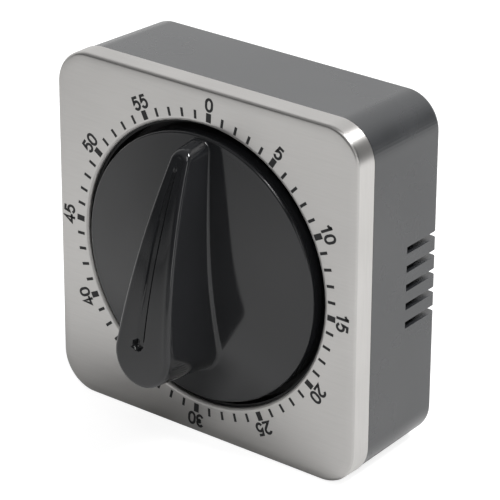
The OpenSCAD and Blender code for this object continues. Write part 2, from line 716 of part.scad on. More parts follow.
module escape_wheel() {
    step = 360 / escape_teeth;
    color("#c9a75a") union() {
        arbor_rod(escape_pos);
        translate([escape_pos[0], 0, escape_pos[1]]) {
            slab(third_front - run_gap / 2, third_back + run_gap / 2)
                pinion_outline(pinion_leaves, third_module, escape_phase);
            slab(second_front, second_back) difference() {
                polygon([for (i = [0:escape_teeth - 1], q = escape_shares)
                    escape_r * q[0] * [cos((i + q[1]) * step), sin((i + q[1]) * step)]]);
                spokes_cut(escape_r * escape_rim_share, escape_r * wheel_hub_share, 3, stem_r * 1.6);
            }
        }
    }
}
pin_r = pivot_r * 0.6;
pin_from_escape = escape_r + pin_r + escape_r * 0.1;
pin_spread = 48;
anchor_line = atan2(anchor_pos[1] - escape_pos[1], anchor_pos[0] - escape_pos[0]);
module pallet_anchor() {
    pins = [for (s = [-1, 1]) let (a = anchor_line + s * pin_spread)
        escape_pos + pin_from_escape * [cos(a), sin(a)]];
    hub_r = stem_r * 1.6;
    bar_hub_r = stem_r * 1.8;
    bar_w = stem_r * 1.4;
    weight_r = stem_r * 1.3;
    weight_from_anchor = anchor_reach * 0.55;
    bar_front = gap_front + spring_w;
    color("#9aa0a6") union() {
        arbor_rod(anchor_pos);
        slab(second_back + run_gap, second_back + run_gap + wheel_t) union() {
            for (p = pins) {
                hull() {
                    translate(anchor_pos) circle(r = hub_r, $fn = 24);
                    translate(p) circle(r = pin_r * 2, $fn = 24);
                }
            }
        }
        for (p = pins) rod(pin_r, second_front, second_back + run_gap + wheel_t, p, 20);
        slab(bar_front, bar_front + wheel_t) union() {
            translate(anchor_pos) circle(r = bar_hub_r, $fn = 24);
            translate(anchor_pos) rotate(anchor_at + 90)
                square([2 * weight_from_anchor, bar_w], center = true);
        }
        for (s = [-1, 1]) rod(weight_r, bar_front - wheel_t, bar_front + 2 * wheel_t,
            anchor_pos + s * weight_from_anchor * [-sin(anchor_at), cos(anchor_at)], 24);
    }
}

// striking
module trip_cam() {
    lobe = asin(cam_r * 0.5 / cam_lobe_r);
    tip = 2;
    lobe_points = [[cam_r, -2 * lobe], [cam_lobe_r, -tip], [cam_lobe_r, tip], [cam_r, lobe / 2]];
    color("lightgray") difference() {
        slab(cam_front, cam_back) union() {
            circle(r = cam_r, $fn = 64);
            polygon(concat([[0, 0]],
                [for (q = lobe_points) q[0] * [cos(tail_at + q[1]), sin(tail_at + q[1])]]));
        }
        rod(arbor_r - arbor_step + seat_gap / 5, 0, case_depth);
    }
}
module link(a, b, ra, rb, front, back) {
    slab(front, back) hull() {
        translate(a) circle(r = ra, $fn = 24);
        translate(b) circle(r = rb, $fn = 24);
    }
}
module hammer() {
    hub_r = stem_r * 1.8;
    tail_end = tail_pos + stem_r * [cos(tail_at), sin(tail_at)];
    color("#9aa0a6") union() {
        rod(stem_r, gap_front + run_gap / 3, arm_back, hammer_pos, 32);
        rod(pivot_r, plate_front + seat_gap, gap_front + run_gap, hammer_pos, 24);
        link(hammer_pos, tail_end, hub_r, stem_r, cam_front, cam_back);
        link(hammer_pos, hammer_pos + [spring_arm, 0], hub_r, stem_r, cam_front, cam_back);
        link(hammer_pos, head_pos, hub_r, stem_r, arm_front, arm_back);
        rod(head_r, arm_front, bell_front + bell_h * head_depth_share, head_pos, 32);
    }
}
wire_r = stem_r * 0.25;
wire_end_r = wire_r * 0.9;
coil_turns = 9;
coil_mid_r = stem_r * 0.75;
module hammer_spring() {
    top = hammer_pos[1] - stem_r * 1.1;
    low = lug_z;
    n = 12;
    steps = coil_turns * n;
    mid_y = (cam_front + cam_back) / 2;
    ring = [for (j = [0:7]) wire_r * [cos(j * 45), sin(j * 45)]];
    span = top - low;
    coil_low = low + span * coil_end_share;
    rise = span * (1 - 2 * coil_end_share) / steps;
    end_h = span * wire_end_share;
    pts = [for (i = [0:steps]) let (a = i * 360 / n, z = coil_low + rise * i)
        for (q = ring) [(coil_mid_r + q[0]) * cos(a), (coil_mid_r + q[0]) * sin(a), z + q[1]]];
    color("silver") translate([hammer_pos[0] + spring_arm, mid_y, 0]) union() {
        polyhedron(points = pts, faces = concat(
            [for (i = [0:steps - 1], j = [0:7]) let (a = i * 8 + j, b = i * 8 + (j + 1) % 8)
                each [[a, b + 8, a + 8], [a, b, b + 8]]],
            [[for (j = [7:-1:0]) j]], [[for (j = [0:7]) steps * 8 + j]]), convexity = 10);
        for (z = [low, top - end_h])
            translate([coil_mid_r, 0, z]) cylinder(r = wire_end_r, h = end_h, $fn = 16);
    }
}
module bell() {
    crown_r = boss_r * 1.6;
    curve_r = bell_h * bell_curve_share;
    outer = concat([[screw_r + pivot_gap, bell_back], [crown_r, bell_back]],
        arc(bell_r - curve_r, bell_back - curve_r, curve_r, 90, 0, 10), [[bell_r, bell_front]]);
    inner = concat([[bell_r - bell_wall, bell_front]],
        arc(bell_r - curve_r, bell_back - curve_r, curve_r - bell_wall, 0, 90, 10),
        [[crown_r, bell_back - bell_wall], [screw_r + pivot_gap, bell_back - bell_wall]]);
    color("#d8d9da") turned() polygon(concat(outer, inner));
}
module bell_washer() {
    color("#2b2b2b") difference() {
        rod(boss_r * 0.9, bell_back + seat_gap / 5, bell_back + run_gap + seat_gap / 2);
        rod(screw_r + pivot_gap, 0, case_depth);
    }
}
module bell_screw() {
    front = bell_back - bell_wall - seat_gap / 5;
    color("silver") difference() {
        union() {
            rod(bell_thread_r, front - seat_gap, case_depth - back_wall * 0.7, sides = 32);
            rod(screw_head_r, front - plate_t, front, sides = 32);
        }
        translate([-screw_head_r, front - 2 * plate_t, -screw_r * slot_w_share / 2])
            cube([2 * screw_head_r, plate_t * 1.4, screw_r * slot_w_share]);
    }
}
module magnets() {
    color("#3a3a3c") for (x = [-1, 1])
        rod(magnet_r, case_depth - magnet_t + seat_gap, case_depth - seat_gap, [x * magnet_x, -magnet_drop]);
}

placed() front_plate();
placed() rear_housing();
placed() dial_well();
placed() dial_knob();
placed() main_arbor();
placed() movement_front_plate();
placed() movement_rear_plate();
placed() plate_pillars();
placed() pillar_screws();
placed() movement_screws();
placed() mainspring();
placed() main_wheel();
placed() ratchet_wheel();
placed() click_leaf();
placed() second_wheel();
placed() third_wheel();
placed() escape_wheel();
placed() pallet_anchor();
placed() trip_cam();
placed() hammer();
placed() hammer_spring();
placed() bell();
placed() bell_washer();
placed() bell_screw();
placed() magnets();
placed() case_screws();
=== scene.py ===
import math
import bpy
import numpy as np
from mathutils import Matrix, Vector


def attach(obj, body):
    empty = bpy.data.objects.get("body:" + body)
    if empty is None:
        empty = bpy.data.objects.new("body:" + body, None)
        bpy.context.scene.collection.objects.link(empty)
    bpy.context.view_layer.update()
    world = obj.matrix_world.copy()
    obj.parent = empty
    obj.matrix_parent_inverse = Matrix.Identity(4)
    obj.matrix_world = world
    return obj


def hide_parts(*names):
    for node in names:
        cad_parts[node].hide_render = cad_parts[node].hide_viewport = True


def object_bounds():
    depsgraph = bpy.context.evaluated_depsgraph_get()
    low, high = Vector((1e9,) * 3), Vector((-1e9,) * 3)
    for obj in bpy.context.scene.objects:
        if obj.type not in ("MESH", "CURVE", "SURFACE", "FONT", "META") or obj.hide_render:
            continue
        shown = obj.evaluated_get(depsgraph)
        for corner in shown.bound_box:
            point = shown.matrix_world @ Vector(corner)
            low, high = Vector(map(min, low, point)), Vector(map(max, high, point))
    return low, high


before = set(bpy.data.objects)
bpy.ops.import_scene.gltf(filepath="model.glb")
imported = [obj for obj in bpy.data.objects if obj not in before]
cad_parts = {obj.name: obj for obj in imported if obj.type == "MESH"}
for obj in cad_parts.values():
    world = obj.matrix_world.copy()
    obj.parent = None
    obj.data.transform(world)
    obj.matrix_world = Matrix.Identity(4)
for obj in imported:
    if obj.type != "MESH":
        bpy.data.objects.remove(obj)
cad_lo, cad_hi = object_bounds()

# Sizes in millimetres and degrees, from the middle of the face. HALF is half its width and height, and FACE_Y
# is its place in the part's frame.
MM_PER_M = 1000.0
CASE_DEPTH = 26.16
HALF = round((cad_hi[0] - cad_lo[0]) * MM_PER_M / 2, 3)
FACE_Y = round(cad_hi[1] * MM_PER_M - CASE_DEPTH, 3)


def place(points):
    """Millimetres from the face's centre to metres in the part's frame."""
    p = np.asarray(points, float)
    return np.c_[p[:, 0], p[:, 1] + FACE_Y, p[:, 2] + HALF] / MM_PER_M


def link(name, data):
    ob = bpy.data.objects.new(name, data)
    bpy.context.scene.collection.objects.link(ob)
    return ob


def mesh_object(name, points, faces, mats, sharp_from, slots=None):
    """Smooth mesh whose edges are hard from the angle sharp_from on; slots has a material number per face."""
    mesh = bpy.data.meshes.new(name)
    mesh.from_pydata([tuple(p) for p in place(points)], [], faces)
    mesh.validate()
    for mat in mats:
        mesh.materials.append(mat)
    if slots is not None:
        for polygon, slot in zip(mesh.polygons, slots):
            polygon.material_index = slot
    mesh.shade_smooth()
    mesh.set_sharp_from_angle(angle=math.radians(sharp_from))
    return link(name, mesh)


class Loft:
    """Collects rings of equal length and joins each to the next."""

    def __init__(self):
        self.points, self.faces, self.count = [], [], 0

    def ring(self, points):
        """Adds points and returns the number of the first."""
        start = self.count
        self.points.append(np.asarray(points, float))
        self.count += len(points)
        return start

    def join(self, first, second, size, flip):
        for i in range(size):
            j = (i + 1) % size
            face = (first + i, first + j, second + j, second + i)
            self.faces.append(face[::-1] if flip else face)

    def build(self, rings, flip=False, closed=False):
        """Adds rings with faces between them and returns the number of each ring's first point."""
        starts = [self.ring(ring) for ring in rings]
        size = len(rings[0])
        for first, second in zip(starts, starts[1:]):
            self.join(first, second, size, flip)
        if closed:
            self.join(starts[-1], starts[0], size, flip)
        return starts


def oval(cx, cy, rx, ry, start, end, steps):
    t = np.radians(np.linspace(start, end, steps + 1))
    return np.c_[cx + rx * np.cos(t), cy + ry * np.sin(t)]


def arc(cx, cy, r, start, end, steps):
    return oval(cx, cy, r, r, start, end, steps)


def circle(angles, r, y):
    """Ring with its points at the given angles; its radius and depth may change from point to point."""
    return np.c_[r * np.cos(angles), y + np.zeros(len(angles)), r * np.sin(angles)]


def ease(v, lo, hi):
    """Rises smoothly from 0 at lo to 1 at hi."""
    t = np.clip((v - lo) / (hi - lo), 0, 1)
    return t * t * (3 - 2 * t)


# Materials

# Scales of their noises, and the spans of noise and tone that the ramps work between
HAIR, FAINT_HAIR, STEEL_CLOUD, STEEL_PATCH = 4200.0, 2200.0, 60.0, 32.0
PLASTIC_CLOUD, SMUDGE, PLASTIC_GRAIN, METAL_GRAIN = 90.0, 26.0, 2200.0, 1400.0
WIDE, NARROW, HAIR_SPAN = (0.3, 0.7), (0.35, 0.65), (0.7, 1.3)
FULL_TONE, HAIR_TONE, PATCH_TONE = (0.0, 1.0), (0.0, 0.7), (-0.35, 0.65)
# How far roughness strays, and the share by which shine does
STEEL_STRAY, PLASTIC_STRAY, METAL_STRAY, SHINE_STRAY = 0.02, 0.03, 0.05, 0.1


def new_mat(name):
    mat = bpy.data.materials.new(name)
    mat.use_nodes = True
    return mat, mat.node_tree, mat.node_tree.nodes["Principled BSDF"]


def noise(tree, scale, detail=3.0, rough=0.5, stretch=None):
    """Noise in the object's own coordinates, drawn out along the axes where stretch is under 1."""
    coords = tree.nodes.new("ShaderNodeTexCoord")
    mapping = tree.nodes.new("ShaderNodeMapping")
    if stretch:
        mapping.inputs["Scale"].default_value = stretch
    texture = tree.nodes.new("ShaderNodeTexNoise")
    texture.inputs["Scale"].default_value = scale
    texture.inputs["Detail"].default_value = detail
    texture.inputs["Roughness"].default_value = rough
    tree.links.new(coords.outputs["Object"], mapping.inputs["Vector"])
    tree.links.new(mapping.outputs["Vector"], texture.inputs["Vector"])
    return texture.outputs["Fac"]


def ramp(tree, source, span, result, smooth=False):
    """Turns values within the span into values within the result's span."""
    node = tree.nodes.new("ShaderNodeMapRange")
    if smooth:
        node.interpolation_type = "SMOOTHSTEP"
    for socket, value in zip(("From Min", "From Max", "To Min", "To Max"), (*span, *result)):
        node.inputs[socket].default_value = value
    tree.links.new(source, node.inputs["Value"])
    return node.outputs["Result"]


def tint(tree, factor, first, second):
    """Mixes two colours. The node's colour sockets go by number, because their names repeat."""
    first_socket, second_socket, colour_out = 6, 7, 2
    node = tree.nodes.new("ShaderNodeMix")
    node.data_type = "RGBA"
    node.inputs[first_socket].default_value = (*first, 1)
    node.inputs[second_socket].default_value = (*second, 1)
    tree.links.new(factor, node.inputs["Factor"])
    return node.outputs[colour_out]


def bump(tree, shader, height, strength, distance):
    node = tree.nodes.new("ShaderNodeBump")
    node.inputs["Strength"].default_value = strength
    node.inputs["Distance"].default_value = distance
    tree.links.new(height, node.inputs["Height"])
    tree.links.new(node.outputs["Normal"], shader.inputs["Normal"])


def maths(tree, operation, *values):
    """Sum, product or the like of numbers and sockets."""
    node = tree.nodes.new("ShaderNodeMath")
    node.operation = operation
    for socket, value in zip(node.inputs, values):
        if isinstance(value, (int, float)):
            socket.default_value = value
        else:
            tree.links.new(value, socket)
    return node.outputs[0]


def brushed_steel(name, tones, stretch, aniso, rough, tangent=None, aniso_turn=0.0):
    """Hairlines over fainter ones, drawn out by stretch, with faint patches; almost even in tone."""
    mat, tree, shader = new_mat(name)
    hair = noise(tree, HAIR, rough=0.6, stretch=stretch)
    faint = noise(tree, FAINT_HAIR, rough=0.55, stretch=stretch)
    cloud = noise(tree, STEEL_CLOUD, detail=2.0)
    patches = noise(tree, STEEL_PATCH, detail=2.0)
    grain = maths(tree, "ADD", hair, faint)
    grain_tone = ramp(tree, grain, HAIR_SPAN, HAIR_TONE)
    tone = maths(tree, "ADD", grain_tone, ramp(tree, patches, NARROW, PATCH_TONE))
    roughness = ramp(tree, cloud, WIDE, (rough - STEEL_STRAY, rough + STEEL_STRAY))
    tree.links.new(tint(tree, tone, *tones), shader.inputs["Base Color"])
    tree.links.new(roughness, shader.inputs["Roughness"])
    shader.inputs["Metallic"].default_value = 1.0
    shader.inputs["Anisotropic"].default_value = aniso
    shader.inputs["Anisotropic Rotation"].default_value = aniso_turn
    if tangent:
        around = tree.nodes.new("ShaderNodeTangent")
        around.direction_type = "RADIAL"
        around.axis = tangent
        tree.links.new(around.outputs["Tangent"], shader.inputs["Tangent"])
    bump(tree, shader, grain, strength=0.08, distance=0.000012)
    return mat


def plastic(name, tones, rough, grain=0.0, scale=PLASTIC_GRAIN, shine=0.5):
    """Moulded plastic: cloudy tone and polish, faint smudges and, where grain is given, a fine texture."""
    mat, tree, shader = new_mat(name)
    cloud = noise(tree, PLASTIC_CLOUD, rough=0.55)
    smudge = noise(tree, SMUDGE, detail=2.0)
    roughness = ramp(tree, cloud, WIDE, (rough - PLASTIC_STRAY, rough + PLASTIC_STRAY))
    gloss = ramp(tree, smudge, NARROW, (shine * (1 - SHINE_STRAY), shine * (1 + SHINE_STRAY)))
    tree.links.new(tint(tree, ramp(tree, cloud, WIDE, FULL_TONE), *tones), shader.inputs["Base Color"])
    tree.links.new(roughness, shader.inputs["Roughness"])
    tree.links.new(gloss, shader.inputs["Specular IOR Level"])
    if grain:
        bump(tree, shader, noise(tree, scale, rough=0.6), strength=grain, distance=0.00003)
    return mat


def metal(name, tones, rough, scale=METAL_GRAIN, stretch=None):
    """Bare metal with a fine grain in its tone, polish and surface."""
    mat, tree, shader = new_mat(name)
    grain = noise(tree, scale, rough=0.6, stretch=stretch)
    roughness = ramp(tree, grain, WIDE, (rough - METAL_STRAY, rough + METAL_STRAY))
    tree.links.new(tint(tree, ramp(tree, grain, WIDE, FULL_TONE), *tones), shader.inputs["Base Color"])
    tree.links.new(roughness, shader.inputs["Roughness"])
    shader.inputs["Metallic"].default_value = 1.0
    bump(tree, shader, grain, strength=0.05, distance=0.00002)
    return mat


# Hairlines run along x on the face and round the case on its rim. The duller lip round the hole has none. The
# face and the lip are painted darker than the rim, though all are one sheet of steel: painted shade on the
# face.
STEEL = brushed_steel("face_steel", ((0.477, 0.468, 0.456), (0.513, 0.503, 0.490)),
                      (0.04, 1.0, 1.0), aniso=0.4, rough=0.33)
RIM_STEEL = brushed_steel("rim_steel", ((0.57, 0.558, 0.542), (0.62, 0.607, 0.592)),
                          (0.04, 1.0, 0.04), aniso=0.85, rough=0.35, tangent="Y", aniso_turn=0.25)
LIP_STEEL = brushed_steel("lip_steel", ((0.465, 0.456, 0.444), (0.525, 0.515, 0.502)),
                          (1.0, 1.0, 1.0), aniso=0.0, rough=0.62)
SHELL_M = plastic("shell_plastic", ((0.020, 0.0215, 0.0235), (0.024, 0.0255, 0.028)),
                  rough=0.26, grain=0.01, shine=0.85)
# The carrier is black plastic, painted darker still than the case as painted shade in the well round the
# dial.
WELL_M = plastic("carrier_plastic", ((0.008, 0.008, 0.0085), (0.011, 0.011, 0.0115)),
                 rough=0.55, grain=0.02, shine=0.3)
DIAL_M = plastic("dial_plastic", ((0.012, 0.0125, 0.0135), (0.014, 0.0145, 0.016)), rough=0.09)
INK = plastic("printed_ink", ((0.010, 0.010, 0.011), (0.016, 0.016, 0.017)), rough=0.4, shine=0.25)
BRASS = metal("brass", ((0.62, 0.44, 0.17), (0.72, 0.53, 0.24)), rough=0.28)
PLATE_M = metal("plate_steel", ((0.50, 0.51, 0.52), (0.58, 0.59, 0.60)),
                rough=0.32, scale=700.0, stretch=(0.06, 1.0, 1.0))
SCREW_M = metal("zinc_screw", ((0.55, 0.56, 0.57), (0.63, 0.64, 0.65)), rough=0.25)
SPRING_M = metal("spring_steel", ((0.20, 0.24, 0.30), (0.28, 0.32, 0.38)), rough=0.25)
BELL_M = metal("bell_nickel", ((0.66, 0.65, 0.62), (0.72, 0.71, 0.68)), rough=0.14)
FERRITE = plastic("ferrite", ((0.035, 0.035, 0.037), (0.05, 0.05, 0.052)),
                  rough=0.55, grain=0.2, scale=1500.0)
FIBRE = plastic("fibre", ((0.16, 0.06, 0.025), (0.2, 0.085, 0.035)),
                rough=0.7, grain=0.2, scale=1500.0)

# The nodes that aren't named here are of plate steel
NODE_MATS = {
    "dial_well": WELL_M, "magnets": FERRITE, "bell_washer": FIBRE, "bell": BELL_M,
    "case_screws": SCREW_M, "pillar_screws": SCREW_M, "movement_screws": SCREW_M, "bell_screw": SCREW_M,
    "mainspring": SPRING_M, "hammer_spring": SPRING_M, "click_leaf": SPRING_M,
    "main_wheel": BRASS, "second_wheel": BRASS, "third_wheel": BRASS, "escape_wheel": BRASS,
    "plate_pillars": BRASS, "front_plate": STEEL, "rear_housing": SHELL_M, "dial_knob": DIAL_M,
}
for node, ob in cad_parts.items():
    ob.data.materials.clear()
    ob.data.materials.append(NODE_MATS.get(node, PLATE_M))

# Dial: dome, rounded edge, skirt, and the hub with its D bore. BORE_FLAT is a share of the bore's radius.
DIAL_R, CROWN, EDGE_H, CURVE = 27.05, 4.25, 1.15, 1.5
DIAL_EDGE, EDGE_SWEEP = 0.5, 78.0
DIAL_WALL, SKIRT, HUB_R, HUB_BACK, BREAK = 1.5, 4.2, 4.0, 4.4, 0.3
BORE_R, BORE_FLAT, BORE_FRONT = 2.53, 0.62, -10.4
# Grip: curved front, broad end, pointer end, and where it stands on the dial
GRIP_H, GRIP_ARC, APEX_DROP = 18.1, 118.0, 25.0
END_R, END_DROP, END_FLARE, END_LEAN = 6.5, 12.35, 0.3, 1.2
TIP_R, TIP_RISE, TIP_FLARE, TIP_LEAN = 2.25, 23.7, 0.3, 0.4
GRIP_TURN, GRIP_SHIFT, EDGE_MARGIN = 1.7, -0.3, 0.6
# Fillet at the grip's foot, and the bead round its front: how far outward and how high each point of its
# profile lies, in shares of BEAD. Inside its crest the front is hollowed, less and less down the span FADE_Z.
FILLET, TIP_FILLET, BEAD = 0.9, 0.3, 0.8
CREST, FOOT, DISH, DISH_RUN, FADE_Z = -1.15, 0.065, 0.07, 0.5, (-17.0, -6.0)
BEAD_PROFILE = ((0, -1.1), (-0.06, -0.8), (-0.22, -0.48), (-0.5, -0.2), (-0.85, -0.04), (CREST, 0),
                (-1.42, -0.025), (-1.7, -FOOT))
# Pointer groove: places across it and the share of its depth there. Above it has two channels, and below, by
# the pit at its end, a slope and one channel. One form turns into the other between the heights STEEP_Z.
GROOVE_D, GROOVE_TOP, GROOVE_RUNIN, GROOVE_RUNOUT, STEEP_Z = 0.62, 23.0, 0.2, 1.5, (-6.0, 4.0)
GROOVE_REACH, GROOVE_SHARE = 1.75, 0.8
CHANNEL = ((-0.02, 0.5), (0.06, 0.9), (0.12, 1), (0.36, 1), (0.47, 0.04), (0.5, 0))
GROOVE_ABOVE = ((-GROOVE_REACH, 0), (-1.45, 0.04), (-1.25, 0.12), (-1.15, 0.9), (-1.05, 1), (-0.9, 1),
                (-0.78, 0.5)) + CHANNEL
GROOVE_BELOW = ((-1.5, 0),) + CHANNEL
PIT_X, PIT_Z, PIT_R, PIT_D, PIT_SLOPE = -0.9, -10.5, 1.2, 1.1, 0.3
# Fineness of the dial's mesh
END_STEPS, SIDE_STEPS, FILLET_STEP, WALL_STEPS, BEAD_STEPS = 56, 190, 9, 13, 5
DOME_STEPS, EDGE_STEPS, UNDER_RINGS = 21, 8, 12
GROOVE_MARGIN, GROOVE_STEP, BESIDE_STEPS, BESIDE_POWER = 0.8, 0.08, 10, 1.6


def dome_h(r):
    return CROWN - (CROWN - EDGE_H) * (np.minimum(r, DIAL_R) / DIAL_R) ** CURVE


def front_h(z):
    return GRIP_H - GRIP_ARC + np.sqrt(GRIP_ARC ** 2 - (z + APEX_DROP) ** 2)


def grip_outline(end_r, end_z, tip_r, tip_z):
    """Round pointer end, straight sides and round broad end, clockwise from the pointer end."""
    lean = math.degrees(math.asin((end_r - tip_r) / (tip_z - end_z)))
    tip = arc(0, tip_z, tip_r, 90, lean, END_STEPS // 2)
    end = arc(0, end_z, end_r, lean, -90, END_STEPS)
    side = tip[-1] + np.linspace(0, 1, SIDE_STEPS + 1)[1:-1, None] * (end[0] - tip[-1])
    right = np.vstack([tip, side, end])
    left = right[-2:0:-1] * (-1, 1)
    return np.vstack([right, left])


def turned(x, z):
    """The grip's own outline turned and shifted to its place on the dial."""
    a = math.radians(GRIP_TURN)
    return x * math.cos(a) + z * math.sin(a) + GRIP_SHIFT, z * math.cos(a) - x * math.sin(a)


def grip_level(share, fillet=0.0, rise=0.0, grow=0.0, lift=0.0, dished=False):
    """One ring round the grip, and its outline before the turn.

    share is the height between dome and front; fillet and rise are shares of the fillet, which is smaller
    at the pointer end; grow and lift are millimetres. A dished ring's lift runs out at the broad end."""
    low = 1 - share
    outline = grip_outline(
        END_R + END_FLARE * low + fillet * FILLET + grow, -END_DROP - END_LEAN * low,
        TIP_R + TIP_FLARE * low + fillet * TIP_FILLET + grow, TIP_RISE + TIP_LEAN * low)
    z = outline[:, 1]
    spots = np.c_[turned(outline[:, 0], z)]
    spots = spots * np.minimum(1, (DIAL_R - EDGE_MARGIN) / np.linalg.norm(spots, axis=1))[:, None]
    base, top = dome_h(np.linalg.norm(spots, axis=1)), front_h(z)
    up = np.clip((z + END_DROP) / (END_DROP + TIP_RISE), 0, 1)
    height = base + (top - base) * share + rise * (FILLET + (TIP_FILLET - FILLET) * up)
    height = height + lift * (ease(z, *FADE_Z) if dished else 1)
    return np.c_[spots[:, 0], -height, spots[:, 1]], outline


def spline(points, steps):
    """Smooth curve through a few points, with so many steps from each to the next."""
    p = np.asarray(points, float)
    p = np.vstack([2 * p[0] - p[1], p, 2 * p[-1] - p[-2]])
    curve = []
    for a, b, c, d in zip(p, p[1:], p[2:], p[3:]):
        for t in np.linspace(0, 1, steps, endpoint=False):
            bend = (2 * a - 5 * b + 4 * c - d) * t * t + (3 * b - a - 3 * c + d) * t ** 3
            curve.append(0.5 * (2 * b + (c - a) * t + bend))
    return np.array(curve + [p[-2]])


def squeeze(half_width):
    """The groove narrows with the grip's front and takes no more than GROOVE_SHARE of its half width."""
    return min(1.0, GROOVE_SHARE * half_width / GROOVE_REACH)


def between(corners, step):
    """The corners with places about one step apart between them."""
    runs = []
    for a, b in zip(corners, corners[1:]):
        runs.append(np.linspace(a, b, max(1, round(abs(b - a) / step)), endpoint=False))
    return np.concatenate(runs + [corners[-1:]])


def across(half_width):
    """Places across the grip's front, right to left, closer over the groove and at the bead's foot."""
    corners = [GROOVE_MARGIN] + [x for x, _ in GROOVE_ABOVE[::-1]]
    inner = between(corners, GROOVE_STEP) * squeeze(half_width)
    side = 1 - (1 - np.linspace(0, 1, BESIDE_STEPS + 1)[1:]) ** BESIDE_POWER
    right = inner[0] + (half_width - inner[0]) * side
    left = inner[-1] - (half_width + inner[-1]) * side
    return np.concatenate([right[::-1], inner, left])


def groove_depth(x, z, half_width):
    """Depth of the pointer groove and of the pit at its lower end."""
    narrow = squeeze(half_width)
    above, below = (np.interp(x / narrow, *zip(*line)) for line in (GROOVE_ABOVE, GROOVE_BELOW))
    start = ease(z, PIT_Z - GROOVE_RUNIN, PIT_Z + GROOVE_RUNIN)
    stop = ease(z, GROOVE_TOP - GROOVE_RUNOUT, GROOVE_TOP)
    groove = GROOVE_D * narrow * start * (1 - stop) * (below + (above - below) * ease(z, *STEEP_Z))
    pit = PIT_D * min(1.0, max(0.0, PIT_R - math.hypot(x - PIT_X, z - PIT_Z)) / PIT_SLOPE)
    return max(groove, pit)


def bore_ring(angles, y):
    """Ring of the bore, with the flat for the arbor's D end."""
    ring = circle(angles, BORE_R, y)
    ring[:, 0] = np.minimum(ring[:, 0], BORE_R * BORE_FLAT)
    return ring


def dial_back(angles):
    """Rings from the bore's blind end over the hub, the underside and the skirt."""
    inner_r = DIAL_R - DIAL_WALL
    hub = [circle(angles, HUB_R - BREAK, HUB_BACK), circle(angles, HUB_R, HUB_BACK - BREAK)]
    under = [circle(angles, r, DIAL_WALL - dome_h(r)) for r in np.linspace(HUB_R, inner_r, UNDER_RINGS)]
    skirt = [circle(angles, inner_r, SKIRT), circle(angles, DIAL_R - BREAK, SKIRT),
             circle(angles, DIAL_R, SKIRT - BREAK)]
    return [bore_ring(angles, BORE_FRONT), bore_ring(angles, HUB_BACK)] + hub + under + skirt


def dial_front(angles, foot_r):
    """Rings from the skirt over the rounded edge and the dome, in to the grip's foot."""
    flat = DIAL_R - DIAL_EDGE
    edge = arc(flat, DIAL_EDGE - dome_h(flat), DIAL_EDGE, 0, -EDGE_SWEEP, EDGE_STEPS)
    radii = [foot_r + (flat - foot_r) * t for t in np.linspace(0, 1, DOME_STEPS + 1)[:0:-1]]
    return [circle(angles, r, y) for r, y in edge] + [circle(angles, r, -dome_h(r)) for r in radii]


def grip_levels():
    """The grip's rings and outlines, from the fillet's toe up the wall and over the bead."""
    levels = [grip_level(0, 1 - math.sin(a), 1 - math.cos(a)) for a in np.radians(range(0, 91, FILLET_STEP))]
    levels += [grip_level(s, rise=1 - s, lift=-BEAD * s) for s in np.linspace(0, 1, WALL_STEPS + 1)[1:-1]]
    for out, up in spline(BEAD_PROFILE, BEAD_STEPS):
        levels.append(grip_level(1, grow=out * BEAD, lift=up * BEAD, dished=out < CREST))
    return levels


def front_rows(loft, last, outline):
    """Rows of points across the grip's front, from the pointer end to the broad end."""
    size, half = len(outline), len(outline) // 2
    rows = [[last]]
    for i in range(1, half):
        half_width, z = outline[i]
        points = []
        for x in across(half_width)[1:-1]:
            hollow = FOOT * BEAD + DISH * (1 - math.exp((abs(x) - half_width) / DISH_RUN))
            depth = ease(z, *FADE_Z) * hollow + groove_depth(x, z, half_width)
            px, pz = turned(x, z)
            points.append((px, depth - front_h(z), pz))
        start = loft.ring(points)
        rows.append([last + i, *range(start, start + len(points)), last + size - i])
    return rows + [[last + half]]


def join_rows(loft, rows):
    """Fills between the rows; the first and the last are single points."""
    for a, b in zip(rows, rows[1:]):
        for c in range(max(len(a), len(b)) - 1):
            if len(a) == 1:
                loft.faces.append((a[0], b[c], b[c + 1]))
            elif len(b) == 1:
                loft.faces.append((b[0], a[c + 1], a[c]))
            else:
                loft.faces.append((a[c], b[c], b[c + 1], a[c + 1]))


def make_dial():
    """Dial and grip as one closed skin."""
    loft = Loft()
    levels = grip_levels()
    foot = levels[0][0][:, [0, 2]]
    angles = np.arctan2(foot[:, 1], foot[:, 0])
    dial_rings = dial_back(angles) + dial_front(angles, np.linalg.norm(foot, axis=1))
    starts = loft.build(dial_rings + [ring for ring, _ in levels], flip=True)
    bore_end = tuple(range(starts[0], starts[0] + len(foot)))
    loft.faces.append(bore_end)
    join_rows(loft, front_rows(loft, starts[-1], levels[-1][1]))
    return mesh_object("dial", np.vstack(loft.points), loft.faces, [DIAL_M], sharp_from=50)


dial = make_dial()
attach(dial, "dial")
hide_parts("dial_knob")

# Metal face: the sheet curves off a little before its fold, and its rim ends in a small break
FACE_CORNER, SHEET, RIM_DEPTH, RIM_BREAK = 7.62, 0.5, 4.775, 0.08
FOLD, CROWN_RUN, CROWN_TILT = 0.75, 1.6, 8.0
# Lip round the dial hole. LIP_BACK is its back: places out from the hole, in shares of LIP, and their depths.
HOLE, LIP, LIP_SPREAD = 28.75, 0.5, 1.7
LIP_BACK = ((1.6, 0.6), (0.7, 1.0), (0.2, 1.0), (0.0, 0.8))
# Fineness of the face's mesh, and how many rows of the lip next to the plate are as bright as the plate
CORNER_STEPS, SIDE_ROW_STEPS, LIP_STEPS, PLATE_STEPS = 28, 14, 12, 9
CROWN_STEPS, FOLD_STEPS, INNER_STEPS = 6, 10, 6
BRIGHT_LIP_ROWS = 3


